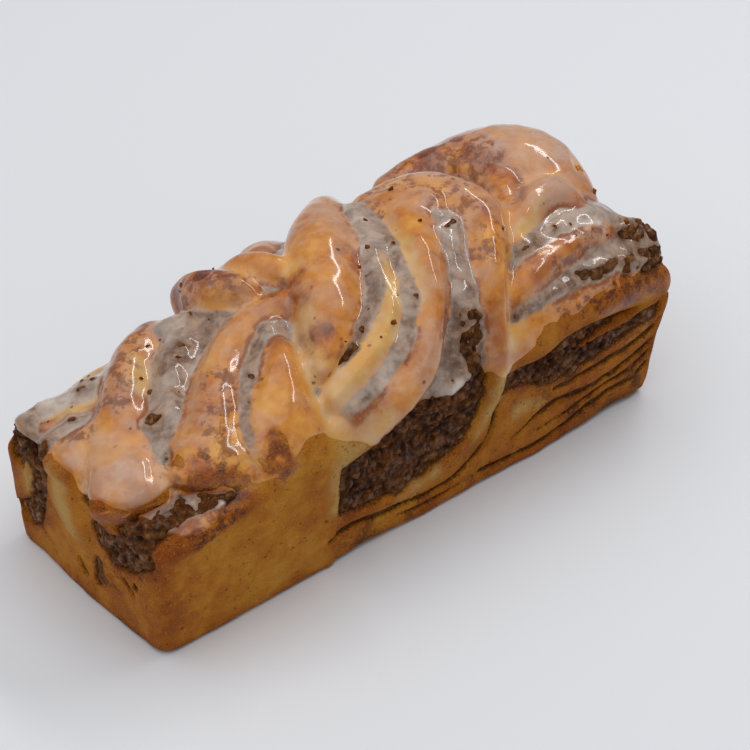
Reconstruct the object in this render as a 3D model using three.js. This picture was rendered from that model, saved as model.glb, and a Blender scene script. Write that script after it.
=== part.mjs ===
// A glazed nut strudel: two filled strands of yeast dough twisted together, baked in a loaf tin and glazed.
// It is one baked solid. The lower part is the plain block that the tin shaped, and above the tin's rim the
// twist rises as plump folds of dough, with valleys between them where the nut filling shows.
//
// Millimetres, +Z up. X runs along the loaf and -Y is its front. The origin is the middle of the flat base.
//
// A place on the loaf's skin is given by two distances. "along" is measured from the middle of the loaf, and
// "around" over the cross section, from the front bottom edge up over the top to the back bottom edge.
import * as THREE from "three";
import { mergeVertices } from "three/addons/utils/BufferGeometryUtils.js";

// Driving dimensions.
const LENGTH = 250; // from end wall to end wall
const BASE_WIDTH = 90; // where it stands
const RIM_WIDTH = 98; // at the tin's rim
const RIM_HEIGHT = 50; // the tin's wall
const END_WIDENING = 3; // how far each end wall leans out from the base to the rim
const DOME_FULLNESS = 2.5; // exponent of the rounded top: 2 is an ellipse, more is fuller
const END_ROUNDING = 9; // radius of the end walls' edges
const VALLEY_DEPTH = 5; // how far the filled valleys lie under the loaf's outer skin
const FOLD_ROUNDNESS = 0.8; // exponent of a fold's section: 0.5 is an ellipse, 1 a parabola
const SOFTENING = 2.6; // reach that the relief is averaged over, so that the facets can follow its creases

// The loaf rises towards its far end: [along, height of the skin's ridge].
const RIDGE = [
  [-125, 56], [-105, 64], [-80, 74], [-50, 82], [-20, 92], [20, 96], [60, 96], [100, 93], [125, 80],
];

// The folds of dough, as the twist laid them: [along, around, rise of the crest over the skin, half width].
const FOLDS = {
  front_lobe: [[-62, 156, 4, 7], [-82, 132, 5, 9], [-96, 114, 7, 11], [-109, 99, 7, 13], [-120, 76, 5, 13]],
  second_lobe: [
    [-28, 124, 4, 7], [-46, 121, 5, 8], [-62, 113, 6, 9], [-73, 99, 6, 9], [-86, 78, 6, 11], [-98, 68, 4, 9],
  ],
  shoulder: [[-44, 103, 4, 8], [-51, 90, 8, 12], [-57, 75, 7, 15], [-61, 59, 4, 18], [-62, 40, 0, 20]],
  rim_lip: [[-123, 57, 2, 7], [-102, 58, 2, 7], [-86, 60, 1, 5]],
  corner_fold: [[-98, 124, 2, 6], [-114, 120, 4, 9], [-124, 112, 3, 9]],
  end_rim: [[-122, 140, 2, 7], [-104, 146, 4, 8], [-84, 160, 3, 7]],
  end_back: [[-122, 158, 3, 8], [-108, 172, 4, 10], [-90, 186, 2, 9]],
  nut_knob: [[-34, 136, 5, 7], [-46, 148, 7, 10], [-58, 162, 4, 9]],
  back_lobe: [[-20, 134, 5, 7], [-27, 148, 8, 9], [-38, 164, 6, 10], [-50, 184, 3, 10]],
  heart: [
    [20, 162, 8, 11], [6, 146, 10, 14], [-8, 130, 11, 15], [-19, 115, 9, 13], [-28, 103, 6, 9],
    [-36, 92, 2, 5],
  ],
  inner_strip: [[5, 112, 1, 4], [-4, 98, 2, 5], [-14, 91, 2, 6], [-30, 82, 1, 6]],
  ribbon: [
    [36, 140, 6, 9], [26, 120, 8, 9], [16, 100, 9, 9], [7, 85, 9, 9], [-5, 73, 8, 9], [-22, 64, 5, 9],
    [-38, 57, 1, 8],
  ],
  crown: [[30, 148, 6, 10], [44, 140, 9, 12], [52, 122, 8, 11], [50, 108, 6, 9]],
  far_ribbon: [[50, 112, 5, 8], [39, 100, 7, 8], [34, 86, 6, 7], [33, 70, 4, 6], [31, 54, 2, 5]],
  far_back: [[40, 168, 5, 9], [58, 158, 8, 10], [76, 150, 8, 9], [79, 132, 6, 8], [70, 114, 3, 6]],
  far_dome: [[76, 168, 7, 14], [88, 144, 10, 17], [98, 124, 8, 15], [106, 110, 3, 9]],
  small_lobe: [[62, 99, 2, 6], [72, 103, 7, 9], [86, 103, 8, 9], [97, 99, 3, 6]],
  upper_strip: [[46, 82, 3, 6], [58, 85, 4, 7], [75, 87, 4, 7], [92, 86, 3, 6]],
  nut_ledge: [[80, 95, 1, 6], [100, 90, 4, 9], [118, 80, 4, 9]],
  broad_strip: [[38, 60, 2, 9], [50, 66, 4, 10], [70, 70, 4, 9], [92, 70, 4, 8], [120, 64, 3, 7]],
  back_shoulder: [[64, 172, 5, 12], [58, 190, 6, 16], [62, 208, 2, 16]],
  back_heart: [[-8, 172, 6, 12], [2, 186, 7, 15], [12, 202, 3, 13]],
  back_ribbon: [[-54, 178, 5, 10], [-36, 190, 6, 12], [-20, 204, 3, 11]],
  back_strip: [[-112, 192, 2, 9], [-88, 198, 5, 11], [-62, 202, 4, 10]],
  back_far: [[112, 136, 3, 12], [106, 160, 6, 13], [98, 184, 6, 14], [88, 204, 2, 12]],
};

// Resolution of the skin.
const WALL_STEPS = 5;
const DOME_STEPS = 44;
const BASE_STEPS = 2;
const LENGTH_STEPS = 62;
const ROUNDING_STEPS = 3;
const CURVE_POINTS = 120; // on the ridge's curve
const FOLD_POINTS = 10; // on a fold's curve, for each point given above

const lerp = THREE.MathUtils.lerp;
const clamp = THREE.MathUtils.clamp;
const smoothstep = THREE.MathUtils.smoothstep;

const ridgeStops = RIDGE.map(([x, z]) => new THREE.Vector2(x, z));
const ridgeCurve = new THREE.SplineCurve(ridgeStops).getPoints(CURVE_POINTS);

function ridgeHeight(along) {
  const next = clamp(ridgeCurve.findIndex((p) => p.x > along), 1, CURVE_POINTS);
  const [a, b] = [ridgeCurve[next - 1], ridgeCurve[next]];
  return lerp(a.y, b.y, clamp((along - a.x) / (b.x - a.x), 0, 1));
}

// The skin's cross section in the YZ plane, from the front bottom edge over the top to the back bottom edge.
function sectionPoints(along) {
  const rise = ridgeHeight(along) - RIM_HEIGHT;
  const power = (v) => Math.sign(v) * Math.abs(v) ** (2 / DOME_FULLNESS);
  const front = [];
  for (let i = 0; i < WALL_STEPS; i++) {
    const share = i / WALL_STEPS;
    front.push(new THREE.Vector2(-lerp(BASE_WIDTH, RIM_WIDTH, share) / 2, RIM_HEIGHT * share));
  }
  const dome = [];
  for (let i = 0; i <= DOME_STEPS; i++) {
    const angle = (Math.PI * i) / DOME_STEPS;
    const y = (-power(Math.cos(angle)) * RIM_WIDTH) / 2;
    dome.push(new THREE.Vector2(y, RIM_HEIGHT + power(Math.sin(angle)) * rise));
  }
  const back = front.map((p) => new THREE.Vector2(-p.x, p.y)).reverse();
  return [...front, ...dome, ...back];
}

// The section again, each point with its distance around and the outward direction there.
function sectionStations(along) {
  const points = sectionPoints(along);
  let around = 0;
  return points.map((point, i) => {
    const [before, after] = [points[Math.max(i - 1, 0)], points[Math.min(i + 1, points.length - 1)]];
    const run = after.clone().sub(before).normalize();
    if (i > 0) around += point.distanceTo(before);
    return { point, around, outward: new THREE.Vector2(-run.y, run.x) };
  });
}

const foldCurves = Object.values(FOLDS).map((points) => {
  const count = points.length * FOLD_POINTS;
  const places = points.map(([along, around, rise]) => new THREE.Vector3(along, around, rise));
  const widths = points.map(([along, around, , halfWidth]) => new THREE.Vector3(along, around, halfWidth));
  const place = new THREE.CatmullRomCurve3(places).getPoints(count);
  const width = new THREE.CatmullRomCurve3(widths).getPoints(count);
  return place.map((p, i) => ({ along: p.x, around: p.y, rise: p.z, halfWidth: width[i].z }));
});

// How far the loaf's surface stands over its skin: the highest fold there, or the floor of the valleys.
function relief(along, around, total) {
  const fromRim = Math.min(around, total - around) - RIM_HEIGHT;
  const floor = -VALLEY_DEPTH * smoothstep(fromRim, -6, 10);
  let height = floor;
  for (const curve of foldCurves) {
    for (const stop of curve) {
      const off = Math.hypot(along - stop.along, around - stop.around) / stop.halfWidth;
      if (off < 1) height = Math.max(height, lerp(floor, stop.rise, (1 - off * off) ** FOLD_ROUNDNESS));
    }
  }
  return height;
}

function softRelief(along, around, total) {
  const reaches = [-SOFTENING, 0, SOFTENING];
  const patch = reaches.flatMap((da) => reaches.map((db) => relief(along + da, around + db, total)));
  return patch.reduce((sum, height) => sum + height, 0) / patch.length;
}

// One ring of the skin: the bumpy section, drawn in by an inset where the end's edges are rounded.
function ringPoints(along, inset) {
  const stations = sectionStations(along);
  const total = stations[stations.length - 1].around;
  const ring = stations.map(({ point, around, outward }) => {
    const out = softRelief(along, around, total) - inset;
    const moved = point.clone().addScaledVector(outward, out);
    const lean = (END_WIDENING * clamp(moved.y / RIM_HEIGHT, 0, 1) - END_WIDENING) * Math.sign(along);
    const reach = Math.max(Math.abs(along) / (LENGTH / 2) - 0.9, 0) / 0.1;
    return new THREE.Vector3(along + lean * reach, moved.x, Math.max(moved.y, 0));
  });
  const [first, last] = [ring[0], ring[ring.length - 1]];
  for (let i = 1; i < BASE_STEPS; i++) ring.push(last.clone().lerp(first, i / BASE_STEPS));
  return ring;
}

// The rings' places from one end to the other, closer together where the end's edges are rounded.
function ringStations() {
  const straight = LENGTH / 2 - END_ROUNDING;
  const steps = [...Array(LENGTH_STEPS + 1).keys()];
  const middle = steps.map((i) => [lerp(-straight, straight, i / LENGTH_STEPS), 0]);
  const end = [...Array(ROUNDING_STEPS).keys()].map((i) => {
    const angle = (Math.PI / 2) * ((i + 1) / ROUNDING_STEPS);
    return [straight + END_ROUNDING * Math.sin(angle), END_ROUNDING * (1 - Math.cos(angle))];
  });
  const start = end.map(([along, inset]) => [-along, inset]).reverse();
  return [...start, ...middle, ...end];
}

// The loaf is a closed cylinder laid along X, with each of its rings reshaped to the loaf's section there.
function loafGeometry() {
  const stations = ringStations();
  const rings = stations.map(([along, inset]) => ringPoints(along, inset));
  const sides = rings[0].length;
  const geometry = new THREE.CylinderGeometry(1, 1, 1, sides, rings.length - 1).toNonIndexed();
  const position = geometry.getAttribute("position");
  const corner = new THREE.Vector3();
  for (let i = 0; i < position.count; i++) {
    corner.fromBufferAttribute(position, i);
    const ring = rings[Math.round((0.5 - corner.y) * (rings.length - 1))];
    const side = Math.round((Math.atan2(corner.x, corner.z) / (2 * Math.PI)) * sides + sides) % sides;
    const onAxis = Math.hypot(corner.x, corner.z) < 0.5;
    const middle = new THREE.Vector3(ring[0].x, 0, RIM_HEIGHT / 2);
    corner.copy(onAxis ? middle : ring[side]);
    position.setXYZ(i, corner.x, corner.y, corner.z);
  }
  geometry.deleteAttribute("normal");
  geometry.deleteAttribute("uv");
  const merged = mergeVertices(geometry);
  merged.computeVertexNormals();
  return merged;
}

const glazedDough = new THREE.MeshStandardMaterial({ color: 0xb87a3e, roughness: 0.45, metalness: 0 });
const loaf = new THREE.Mesh(loafGeometry(), glazedDough);
loaf.name = "loaf";

const nutStrudel = new THREE.Group();
nutStrudel.add(loaf);

export default nutStrudel;
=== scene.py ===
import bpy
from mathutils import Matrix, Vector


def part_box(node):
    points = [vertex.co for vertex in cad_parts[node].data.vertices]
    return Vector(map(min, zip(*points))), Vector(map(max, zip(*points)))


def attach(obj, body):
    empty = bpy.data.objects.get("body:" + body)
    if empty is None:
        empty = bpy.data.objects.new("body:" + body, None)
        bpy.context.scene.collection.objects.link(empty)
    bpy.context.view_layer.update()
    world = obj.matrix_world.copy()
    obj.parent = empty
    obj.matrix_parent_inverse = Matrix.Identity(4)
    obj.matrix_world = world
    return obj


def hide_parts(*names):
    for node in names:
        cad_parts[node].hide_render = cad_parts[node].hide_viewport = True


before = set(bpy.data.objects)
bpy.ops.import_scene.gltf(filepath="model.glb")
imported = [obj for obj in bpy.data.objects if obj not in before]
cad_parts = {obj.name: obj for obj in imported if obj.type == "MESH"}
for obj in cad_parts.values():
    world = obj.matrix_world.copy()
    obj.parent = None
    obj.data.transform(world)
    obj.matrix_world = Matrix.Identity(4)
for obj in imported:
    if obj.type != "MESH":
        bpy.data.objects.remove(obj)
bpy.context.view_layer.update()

import math

import bpy
import numpy as np
import openvdb
from mathutils import Vector

# A glazed nut strudel, modelled as dough, nut filling and sugar glaze. Each is first a field of distances on
# a grid of small cells (negative inside), then a mesh. Lengths are in millimetres until the mesh is made.
#
# A place on the loaf's skin is given as x, along the loaf, and t, the way round the cross section: t starts
# at the front bottom edge and runs up over the top to the back bottom edge.

millimetre = 0.001
low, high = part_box("loaf")
length = (high.x - low.x) / millimetre
overhang = 20            # how far the maps of the skin go on past each end
inside = 1.001           # keeps a clipped place just inside its last cell
triangleLimit = 190000   # for each piece

# every kind of unevenness is drawn from its own numbers
seed = 11
draws = {"wobble": 1, "fineWobble": 2, "lumps": 3, "crumbs": 4, "raggedHem": 5, "thickness": 6, "patches": 7,
         "swell": 8, "fineLumps": 9, "grain": 12, "frontTop": 20, "backTop": 21}

tin = {
    "baseHalf": 45,      # half the loaf's width where it stands
    "rimHalf": 49,       # and at the tin's rim
    "rim": 50,           # the rim's height
    "endLean": 3,        # how far the end walls lean out from base to rim
    "fullness": 2.5,     # of the dome: 2 is an ellipse
    "corner": 8,         # rounding of the upright edges
    "foot": 2.5,         # rounding of the bottom edges
}
# the height of the loaf's top along it, as x, z, rounded off over a few of its steps
ridge = [(-125, 56), (-105, 64), (-80, 74), (-50, 82), (-20, 92), (20, 96), (60, 96), (98, 93), (125, 73)]
ridgeSteps, ridgeRounding = 400, 25

cells = {
    "size": 0.8,
    "marginX": 9, "marginY": 16, "below": 4, "top": 116,
    "band": 7,           # distances past this are not kept
}


def axisCells(start, end):
    return np.arange(start, end, cells["size"], dtype=np.float32)


gridX = axisCells(-length / 2 - cells["marginX"], length / 2 + cells["marginX"])
gridY = axisCells(-tin["rimHalf"] - cells["marginY"], tin["rimHalf"] + cells["marginY"])
gridZ = axisCells(-cells["below"], cells["top"])
gridStart = np.array([gridX[0], gridY[0], gridZ[0]])
gridShape = (len(gridX), len(gridY), len(gridZ))


def smoothUnion(a, b, k):
    h = np.maximum(k - np.abs(a - b), 0) / k
    return np.minimum(a, b) - h * h * k / 4


def smoothCut(a, b, k):
    return -smoothUnion(-a, -b, k)


def smoothstep(start, end, v):
    s = np.clip((v - start) / (end - start), 0, 1)
    return s * s * (3 - 2 * s)


def blurred(field, reach):
    # three running means along each axis come close to a bell curve
    out = field
    half = max(1, round(reach / cells["size"]))
    for axis in range(3):
        for turn in range(3):
            padded = np.concatenate([np.repeat(out.take([0], axis), half + 1, axis), out,
                                     np.repeat(out.take([-1], axis), half, axis)], axis)
            total = np.cumsum(padded, axis, dtype=np.float64)
            count = out.shape[axis]
            top = total.take(range(2 * half + 1, 2 * half + 1 + count), axis)
            out = ((top - total.take(range(count), axis)) / (2 * half + 1)).astype(np.float32)
    return out


def softNoise(size, draw, shape=gridShape, step=cells["size"], kind=np.float32):
    # smooth noise from -1 to 1 with lumps of about that size: random values with a curve through them,
    # stretched because the curve seldom gets far from its middle
    rng = np.random.default_rng(seed + draws[draw])
    counts = [int(n * step / size) + 4 for n in shape]
    values = rng.uniform(-1, 1, counts).astype(kind)
    stretch = 2.2
    for axis, n in enumerate(shape):
        at = np.arange(n) * step / size + 1
        i, f = at.astype(int), at % 1
        weights = np.zeros((n, counts[axis]), kind)
        curve = [(1 - f) ** 3 / 6, (3 * f ** 3 - 6 * f ** 2 + 4) / 6,
                 (-3 * f ** 3 + 3 * f ** 2 + 3 * f + 1) / 6, f ** 3 / 6]
        for k, weight in enumerate(curve):
            weights[np.arange(n), i - 1 + k] = weight
        values = np.moveaxis(np.tensordot(weights, values, (1, axis)), 0, axis)
    return np.clip(values * stretch, -1, 1)


def between(values, *at):
    # what an array holds at places between its cells, each given by a fractional number for each axis
    whole = [a.astype(int) for a in at]
    total = 0
    for corner in np.ndindex((2,) * len(at)):
        weight = 1
        for a, i, c in zip(at, whole, corner):
            weight = weight * np.abs(1 - c - (a - i))
        total = total + weight * values[tuple(i + c for i, c in zip(whole, corner))]
    return total


def sampled(field, points):
    # the field's value at each point
    at = np.clip((points - gridStart) / cells["size"], 0, np.array(gridShape) - inside)
    return between(field, *at.T)


def cellPlaces(found):
    return gridX[found[:, 0]], gridY[found[:, 1]], gridZ[found[:, 2]]


def blockAround(places, reach):
    # the first and last cells of the block that goes that far past the places
    first = np.floor((places.min(0) - reach - gridStart) / cells["size"]).astype(int)
    last = np.ceil((places.max(0) + reach - gridStart) / cells["size"]).astype(int)
    return first, last


def blockOffsets(first, last, place):
    # how far each cell of the block is from the place, along x, y and z
    return (gridX[first[0]:last[0], None, None] - place[0],
            gridY[None, first[1]:last[1], None] - place[1],
            gridZ[None, None, first[2]:last[2]] - place[2])


# the skin of the loaf: straight walls up to the tin's rim, and a dome over it
ridgeX = np.linspace(-length / 2 - overhang, length / 2 + overhang, ridgeSteps)
ridgeZ = np.pad(np.interp(ridgeX, *zip(*ridge)), ridgeRounding // 2, mode="edge")
ridgeZ = np.convolve(ridgeZ, np.ones(ridgeRounding) / ridgeRounding, "valid")

domeTurns = np.linspace(0, math.pi, 241)
domeHeights = np.arange(40, 110)
wallRun = math.hypot(tin["rim"], tin["rimHalf"] - tin["baseHalf"])


def domeOutline(height):
    power = 2 / tin["fullness"]
    y = -np.sign(np.cos(domeTurns)) * np.abs(np.cos(domeTurns)) ** power * tin["rimHalf"]
    z = tin["rim"] + np.sin(domeTurns).clip(0) ** power * (height - tin["rim"])
    return y, z


def runAlong(y, z):
    return np.concatenate([[0], np.cumsum(np.hypot(np.diff(y), np.diff(z)))])


domeRuns = np.array([runAlong(*domeOutline(height)) for height in domeHeights])


def ridgeHeight(x):
    return np.interp(x, ridgeX, ridgeZ)


def wayRound(x, y, z):
    # t of any point near the skin
    height = ridgeHeight(x)
    up = (np.maximum(z - tin["rim"], 0) / (height - tin["rim"])) ** (tin["fullness"] / 2)
    across = np.sign(-y) * (np.abs(y) / tin["rimHalf"]) ** (tin["fullness"] / 2)
    turn = np.arctan2(up, across) / math.pi * (len(domeTurns) - 1)
    row = np.clip(height - domeHeights[0], 0, len(domeHeights) - inside)
    run = between(domeRuns, row, np.clip(turn, 0, len(domeTurns) - inside))
    wall = np.clip(z / tin["rim"], 0, 1) * wallRun
    back = 2 * wallRun + between(domeRuns[:, -1], row) - wall
    return np.where(z < tin["rim"], np.where(y < 0, wall, back), wallRun + run)


def skinPlace(x, t, lift):
    # the point over the skin, and the direction outward there; past an end it goes on down the end wall
    inX = min(max(x, -length / 2), length / 2)
    past = abs(x - inX)
    y, z = domeOutline(ridgeHeight(inX))
    y = np.concatenate([[-tin["baseHalf"]], y, [tin["baseHalf"]]])
    z = np.concatenate([[0], z, [0]])
    run = runAlong(y, z)
    here, ahead, behind = [np.array([np.interp(t + off, run, y), np.interp(t + off, run, z)])
                           for off in (0, 2, -2)]
    step = (ahead - behind) / np.linalg.norm(ahead - behind)
    turn = smoothstep(0, 10, past)
    out = np.array([math.copysign(turn, x), -step[1] * (1 - turn), step[0] * (1 - turn)])
    out /= np.linalg.norm(out)
    return np.array([inX, here[0], here[1] - past]) + out * lift, out


def skinField():
    x, y, z = gridX[:, None, None], gridY[None, :, None], gridZ[None, None, :]
    height = ridgeHeight(gridX)[:, None, None].astype(np.float32)
    p = tin["fullness"]
    u = np.abs(y) / tin["rimHalf"]
    v = np.maximum(z - tin["rim"], 0) / (height - tin["rim"])
    total = np.maximum(u ** p + v ** p, 0.02)            # never 0, so that the slope below is finite
    slopeY = total ** (1 / p - 1) * u ** (p - 1) / tin["rimHalf"]
    slopeZ = total ** (1 / p - 1) * v ** (p - 1) / (height - tin["rim"])
    dome = (total ** (1 / p) - 1) / np.maximum(np.hypot(slopeY, slopeZ), 0.004)
    half = tin["baseHalf"] + (tin["rimHalf"] - tin["baseHalf"]) * z / tin["rim"]
    side = np.where(z < tin["rim"], np.abs(y) - half, dome)
    lean = tin["endLean"] * (1 - np.clip(z / tin["rim"], 0, 1))
    shell = smoothCut(side, np.abs(x) - (length / 2 - lean), tin["corner"])
    return smoothCut(shell, -z, tin["foot"]).astype(np.float32)


# maps over the skin, by x and t
mapStep = 0.5
mapX = np.arange(-length / 2 - overhang, length / 2 + overhang, mapStep)
mapT = np.arange(-4, 300, mapStep)
mapXs, mapTs = np.meshgrid(mapX, mapT, indexing="ij")


def curvePoints(points, count):
    # a smooth curve through the points, any number of values each
    points = np.array(points, float)
    padded = np.vstack([2 * points[0] - points[1], points, 2 * points[-1] - points[-2]])
    out = []
    for i in range(len(points) - 1):
        a, b, c, d = padded[i:i + 4]
        for s in np.arange(count) / count:
            out.append(0.5 * (2 * b + (c - a) * s + (2 * a - 5 * b + 4 * c - d) * s * s
                              + (3 * b - a - 3 * c + d) * s ** 3))
    return np.array(out + [points[-1]])


def strokeStops(path):
    return curvePoints(path, 8) if len(path) > 1 else np.array(path, float)


def painted(paths, soft, ways=mapTs):
    # 1 inside the painted strokes, fading to 0 over the soft edge; each stroke is x, t, half width
    cover = np.zeros(mapXs.shape)
    for path in paths:
        for x, t, half in strokeStops(path):
            i, j = np.searchsorted(mapX, [x - half - soft, x + half + soft])
            off = np.hypot(mapXs[i:j] - x, ways[i:j] - t)
            cover[i:j] = np.maximum(cover[i:j], smoothstep(half + soft, half - soft, off))
    return cover


def paintedOnEnd(paths, soft, us, vs):
    # the same for strokes of y, z, half width on an end wall, at the given points
    cover = np.zeros(len(us))
    for path in paths:
        for u, v, half in strokeStops(path):
            cover = np.maximum(cover, smoothstep(half + soft, half - soft, np.hypot(us - u, vs - v)))
    return cover


def endShare(x, side, start, full):
    # rises from 0 to 1 towards that end, between two distances short of it
    return smoothstep(length / 2 - start, length / 2 - full, x * side)


def onSkin(painting, x, t):
    # a map's value at any x and t
    i = np.clip((x - mapX[0]) / mapStep, 0, len(mapX) - inside)
    j = np.clip((t - mapT[0]) / mapStep, 0, len(mapT) - inside)
    return between(painting, i, j)


def mapNoise(size, draw):
    return softNoise(size, draw, mapXs.shape, mapStep, float)


def along(line):
    # the height of a line given as x, t over the whole map
    return np.interp(mapXs, *zip(*line))


# each fold of dough is a list of x, t, half width, lift of its crest over the skin
folds = {
    "frontLobe": [
        (-63, 150, 5, 2), (-68, 147, 7, 4), (-77, 140, 8, 6), (-89, 126, 9.5, 7), (-99, 112, 11.5, 7),
        (-106, 99, 13.5, 6.5), (-111, 88, 15.5, 6), (-115, 78, 17, 5)],
    "secondLobe": [
        (-26, 121, 5, 4), (-36, 121, 7, 6), (-48, 118, 8, 7), (-59, 111, 9, 7), (-69, 101, 10, 7),
        (-78, 90, 11, 7), (-85, 79, 14, 7), (-89, 70, 16, 6)],
    "shoulder": [(-44, 103, 5, 6), (-51, 92, 9, 8), (-58, 80, 13, 8), (-62, 66, 17, 6), (-64, 52, 20, 3),
                 (-65, 38, 21, 1.5), (-65, 20, 21, 1), (-65, 8, 20, 0)],
    "nutKnob": [(-38, 131, 6, 9), (-41, 138, 8, 12), (-44, 146, 8, 12), (-46, 153, 6, 9)],
    "backLobe": [(-21, 131, 6, 7), (-25, 138, 8, 10), (-29, 146, 8, 9), (-36, 152, 8, 5)],
    "heart": [(22, 167, 8, 8), (13, 156, 10, 11), (3, 146, 12, 12), (-5, 135, 14, 12), (-13, 122, 14, 11),
              (-21, 109, 12.5, 10), (-29, 97, 9.5, 7), (-37, 88, 5, 4)],
    "innerStrip": [
        (6, 116, 2.4, 5), (1, 104, 3.4, 5.6), (-8, 93, 4.2, 5.4), (-20, 86, 4.6, 5), (-31, 80.5, 4.4, 4),
        (-40, 76, 3.2, 2)],
    "ribbon": [
        (35, 142, 10, 8), (30, 130, 10, 9), (24, 117, 8.5, 9), (17, 103, 7.5, 9), (11, 92, 7, 9),
        (4, 83, 7, 9), (-4, 75, 7.5, 9), (-14, 69, 8, 8), (-24, 65, 9, 6), (-34, 62, 10, 4),
        (-43, 59, 10, 2)],
    "crown": [(28, 149, 9, 7), (38, 146, 10, 9), (48, 138, 12, 11), (54, 126, 12, 11), (54, 114, 10, 9)],
    "crownMiddle": [(27, 142, 10, 8), (37, 137, 12, 10), (44, 128, 10, 10)],
    "farRibbon": [
        (55, 116, 10, 9), (48, 104, 8, 8), (41, 94, 7, 7), (36, 84, 6, 6), (34, 74, 5, 5),
        (33, 64, 4.5, 4), (31, 52, 4.5, 3), (29, 41, 4, 1), (23, 31, 3.5, 0), (13, 24, 3, 0),
        (0, 20, 3, 0), (-14, 18, 3, 0), (-28, 20, 3, 0), (-42, 23, 3, 0)],
    "farBack": [(50, 164, 8, 6), (64, 163, 9, 8), (76, 158, 9, 9), (83, 147, 9, 8), (80, 134, 8, 7),
                (74, 121, 7, 6), (66, 110, 5, 4)],
    "farDome": [(74, 172, 14, 7), (84, 158, 17, 10), (91, 144, 20, 12), (95, 130, 20, 11),
                (98, 116, 16, 8), (100, 104, 9, 3)],
    "smallLobe": [(60, 100, 4, 3), (67, 106, 6, 6), (77, 110, 8, 9), (87, 110, 9, 9), (92, 104, 7, 6)],
    "upperStrip": [
        (42, 81, 5, 3), (53, 84, 6, 5), (64, 87, 6, 5), (76, 89, 6, 5), (88, 89, 5, 4), (99, 88, 4, 3)],
    "broadStrip": [
        (36, 60, 8, 2), (44, 63, 11, 3), (54, 64, 12, 4), (66, 65, 10, 4), (78, 65, 9, 4),
        (92, 64, 8.5, 4), (106, 61, 8, 3), (117, 58, 7, 2)],
    "sideLeaf": [(74, 47, 1.2, 1), (86, 49, 1.4, 1), (100, 50, 1.4, 1), (114, 51, 1.2, 0)],
    "wallLip": [(-118, 48, 4, 0), (-110, 52, 5, 2), (-99, 54, 5, 2.5), (-88, 56, 5, 2.5), (-76, 58, 6, 2)],
    "topCorner": [(-104, 114, 4, 3), (-110, 113, 7, 4), (-116, 111, 10, 4), (-121, 109, 12, 3)],
    "paleStrip": [(-100, 125, 3, 2), (-108, 130, 3, 2.5), (-116, 131, 3, 2)],
    "endRim": [(-86, 147, 4, -1), (-97, 149, 4, -2), (-108, 150, 4, -3), (-117, 148, 4, -3)],
    "backShoulder": [
        (66, 170, 9, 3), (60, 184, 14, 6), (58, 198, 16, 5), (60, 212, 16, 2), (60, 226, 15, 0)],
    "backHeart": [(-12, 166, 8, 4), (-6, 178, 12, 7), (4, 191, 13, 6), (15, 202, 10, 3), (24, 211, 6, 1)],
    "backRibbon": [
        (-44, 166, 7, -2), (-36, 176, 9, 3), (-26, 187, 9, 5), (-14, 198, 8, 4), (2, 207, 7, 3),
        (20, 213, 6, 1)],
    "backStrip": [
        (-116, 172, 7, 0), (-100, 180, 9, 2), (-82, 188, 10, 4), (-66, 196, 9, 4), (-50, 204, 8, 2)],
    "backFold": [(-82, 170, 6, -3), (-70, 176, 8, 0), (-57, 182, 8, 2), (-46, 191, 7, 2), (-38, 204, 6, 1)],
    "backFar": [(110, 150, 8, -4), (110, 166, 12, 2), (104, 184, 13, 4), (98, 200, 12, 2)],
}
# on the end walls a fold's points are y, z, half width, lift; -1 is the left end and 1 the right
endFolds = {
    -1: [[(10, 52, 11, 1), (7, 46, 13, 3), (4, 40, 13, 3), (2, 33, 11, 2.5), (0, 27, 8, 1)],
         [(31, 43, 3, 1), (31, 35, 3, 1.5), (33, 28, 2, 0)]],
    1: [[(-12, 62, 10, 1), (-8, 48, 12, 2.5), (-2, 34, 10, 2), (6, 24, 7, 0)],
        [(22, 56, 8, 1), (24, 44, 9, 2), (18, 34, 6, 1)]],
}
dips = {     # where the loaf has sunk: strokes of x, t, half width, by depth
    7: [[(-26, 163, 8), (-46, 166, 9)], [(-60, 162, 7), (-76, 164, 8)]],
    4: [[(-88, 156, 6), (-98, 152, 9), (-114, 148, 11)]],
    6: [[(109, 112, 7), (114, 124, 11), (117, 142, 12)]],
}
foldShape = {
    "rootDepth": 3,         # how far under the skin the middle of a fold lies
    "thinnest": 5, "thickest": 12,
    "bluntTip": 7,
    "join": 1.2,            # rounding of the creases between folds
    "softJoin": 3.5, "soft": ("topCorner", "paleStrip"),     # these melt into the rest
    "wobble": 0.7, "wobbleSize": 14, "fineWobble": 0.28, "fineSize": 5,
}
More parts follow.
